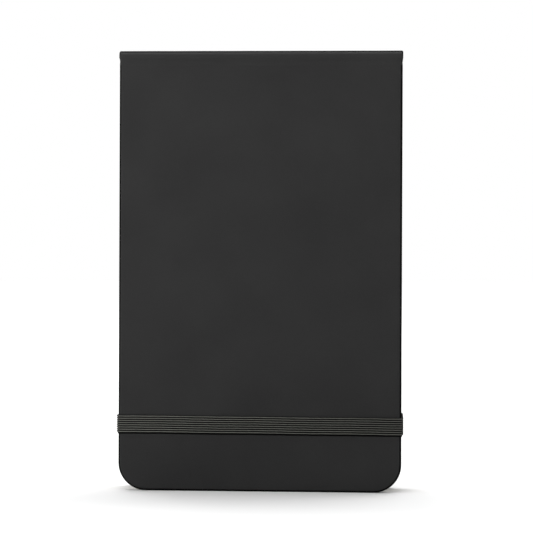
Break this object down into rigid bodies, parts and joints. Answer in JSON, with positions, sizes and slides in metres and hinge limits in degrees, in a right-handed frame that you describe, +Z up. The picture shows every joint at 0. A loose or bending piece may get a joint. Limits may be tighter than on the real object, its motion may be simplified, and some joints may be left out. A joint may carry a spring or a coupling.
{
  "type": "pocket notebook",
  "caption": "Upright pocket notebook that opens over its top edge: hard leatherette covers, a sewn block of leaves and a flat ribbed elastic band round the closed covers.",
  "frame": {"origin": "middle of the closed notebook's footprint, on the plane that the covers stand on", "axes": "+X across the page, from left to right as seen from the front; -Y out of the front cover; +Z up, towards the bound edge"},
  "size_m": [0.0912, 0.0152, 0.14],
  "materials": {
    "leatherette": "fine satin grain",
    "greyboard": "matt",
    "endpaper": "matt",
    "page_paper": "matt",
    "thread": "waxed",
    "gauze": "open weave",
    "headband": "woven",
    "elastic": "ribbed weave"
  },
  "bodies": {
    "block": {"signature_02": "page_paper", "signature_03": "page_paper", "signature_04": "page_paper", "signature_05": "page_paper", "signature_06": "page_paper", "signature_07": "page_paper", "signature_08": "page_paper", "signature_09": "page_paper", "signature_10": "page_paper", "first_fold": "page_paper", "back_flyleaf": "endpaper", "sewing_thread": "thread", "spine_lining": "gauze", "headband_left": "headband", "headband_right": "headband", "spine_board": "greyboard", "spine_skin": "leatherette", "front_hinge_strip": "leatherette", "back_hinge_strip": "leatherette"},
    "front_cover": {"front_cover_skin": "leatherette", "front_board": "greyboard", "front_pastedown": "endpaper"},
    "back_cover": {"back_cover_skin": "leatherette", "back_board": "greyboard", "back_pastedown": "endpaper", "elastic_end_left": "elastic", "elastic_end_right": "elastic"},
    "elastic": {"elastic_band": "elastic"},
    "flyleaf": {"front_flyleaf": "endpaper"},
    "leaf_01": {"leaf_01": "page_paper"},
    "leaf_02": {"leaf_02": "page_paper"},
    "leaf_03": {"leaf_03": "page_paper"},
    "leaf_04": {"leaf_04": "page_paper"},
    "leaf_05": {"leaf_05": "page_paper"},
    "leaf_06": {"leaf_06": "page_paper"},
    "leaf_07": {"leaf_07": "page_paper"},
    "leaf_08": {"leaf_08": "page_paper"}
  },
  "joints": [
    {"name": "front_cover_hinge", "type": "hinge", "parent": "block", "child": "front_cover", "pos_m": [0, -0.0047, 0.1384], "axis": [-1, 0, 0], "range_deg": [0, 175], "deforming": ["front_hinge_strip"]},
    {"name": "back_cover_hinge", "type": "hinge", "parent": "block", "child": "back_cover", "pos_m": [0, 0.0047, 0.1384], "axis": [1, 0, 0], "range_deg": [0, 175], "deforming": ["back_hinge_strip"]},
    {"name": "elastic_flip", "type": "hinge", "parent": "back_cover", "child": "elastic", "pos_m": [0, 0.00733, 0.0213], "axis": [1, 0, 0], "range_deg": [0, 180], "deforming": ["elastic_band"]},
    {"name": "flyleaf_turn", "type": "hinge", "parent": "block", "child": "flyleaf", "pos_m": [0, -0.0047, 0.1384], "axis": [-1, 0, 0], "range_deg": [0, 175]},
    {"name": "leaf_01_turn", "type": "hinge", "parent": "block", "child": "leaf_01", "pos_m": [0, -0.0047, 0.1384], "axis": [-1, 0, 0], "range_deg": [0, 175]},
    {"name": "leaf_02_turn", "type": "hinge", "parent": "block", "child": "leaf_02", "pos_m": [0, -0.0047, 0.1384], "axis": [-1, 0, 0], "range_deg": [0, 175]},
    {"name": "leaf_03_turn", "type": "hinge", "parent": "block", "child": "leaf_03", "pos_m": [0, -0.0047, 0.1384], "axis": [-1, 0, 0], "range_deg": [0, 175]},
    {"name": "leaf_04_turn", "type": "hinge", "parent": "block", "child": "leaf_04", "pos_m": [0, -0.0047, 0.1384], "axis": [-1, 0, 0], "range_deg": [0, 175]},
    {"name": "leaf_05_turn", "type": "hinge", "parent": "block", "child": "leaf_05", "pos_m": [0, -0.0047, 0.1384], "axis": [-1, 0, 0], "range_deg": [0, 175]},
    {"name": "leaf_06_turn", "type": "hinge", "parent": "block", "child": "leaf_06", "pos_m": [0, -0.0047, 0.1384], "axis": [-1, 0, 0], "range_deg": [0, 175]},
    {"name": "leaf_07_turn", "type": "hinge", "parent": "block", "child": "leaf_07", "pos_m": [0, -0.0047, 0.1384], "axis": [-1, 0, 0], "range_deg": [0, 175]},
    {"name": "leaf_08_turn", "type": "hinge", "parent": "block", "child": "leaf_08", "pos_m": [0, -0.0047, 0.1384], "axis": [-1, 0, 0], "range_deg": [0, 175]}
  ],
  "couplings": [
    {"joint": "flyleaf_turn", "follows": "front_cover_hinge", "ratio": 0.96},
    {"joint": "leaf_01_turn", "follows": "front_cover_hinge", "ratio": 0.945},
    {"joint": "leaf_02_turn", "follows": "front_cover_hinge", "ratio": 0.932},
    {"joint": "leaf_03_turn", "follows": "front_cover_hinge", "ratio": 0.919},
    {"joint": "leaf_04_turn", "follows": "front_cover_hinge", "ratio": 0.906},
    {"joint": "leaf_05_turn", "follows": "front_cover_hinge", "ratio": 0.893},
    {"joint": "leaf_06_turn", "follows": "front_cover_hinge", "ratio": 0.88},
    {"joint": "leaf_07_turn", "follows": "front_cover_hinge", "ratio": 0.867},
    {"joint": "leaf_08_turn", "follows": "front_cover_hinge", "ratio": 0.854}
  ]
}
